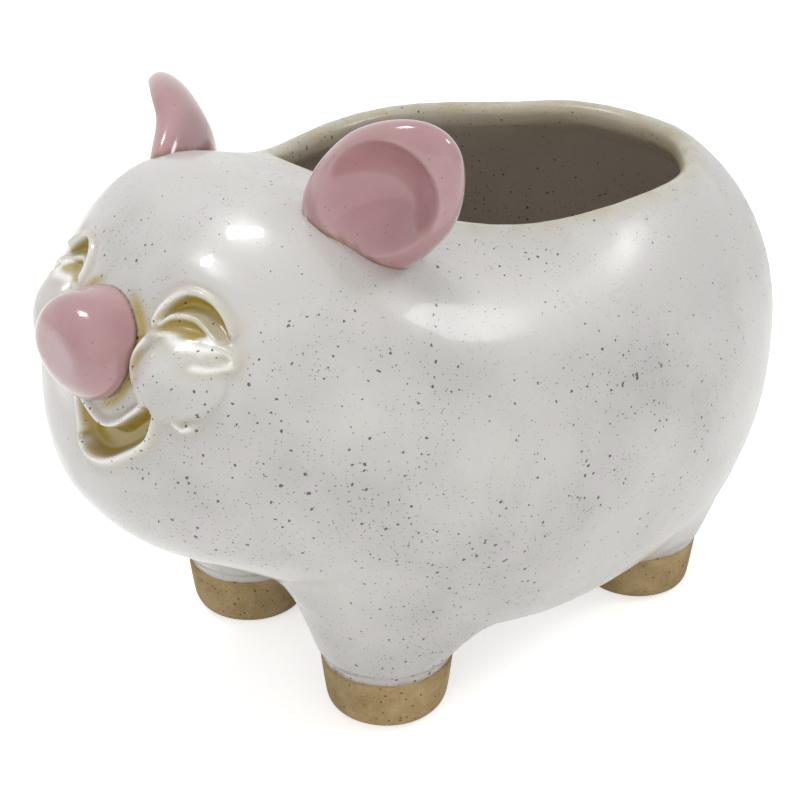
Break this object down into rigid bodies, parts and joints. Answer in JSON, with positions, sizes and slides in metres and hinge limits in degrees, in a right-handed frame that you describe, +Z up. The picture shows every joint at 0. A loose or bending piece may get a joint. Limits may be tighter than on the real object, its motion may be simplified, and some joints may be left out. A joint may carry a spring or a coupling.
{
  "type": "animal shaped planter",
  "caption": "Pig shaped stoneware planter with an open back for a plant, speckled glaze, cupped ears, button snout and bare clay feet.",
  "frame": {"origin": "on the ground, under the middle of the whole pig's bounding box", "axes": "+Z up, -Y the way the pig faces, +X the pig's left"},
  "size_m": [0.147, 0.2119, 0.1588],
  "materials": {
    "speckled_glaze": "glossy off-white stoneware glaze with dark iron speckles",
    "pink_glaze": "glossy pink stoneware glaze",
    "bare_clay": "unglazed buff stoneware, matt"
  },
  "bodies": {
    "root": {"pot_body": "speckled_glaze", "head": "speckled_glaze", "lips": "speckled_glaze", "tail": "speckled_glaze", "eyelids_left": "speckled_glaze", "eyelids_right": "speckled_glaze", "cheek_left": "speckled_glaze", "cheek_right": "speckled_glaze", "snout": "pink_glaze", "ear_left": "pink_glaze", "ear_right": "pink_glaze", "foot_front_left": "bare_clay", "foot_front_right": "bare_clay", "foot_rear_left": "bare_clay", "foot_rear_right": "bare_clay"}
  },
  "joints": []
}
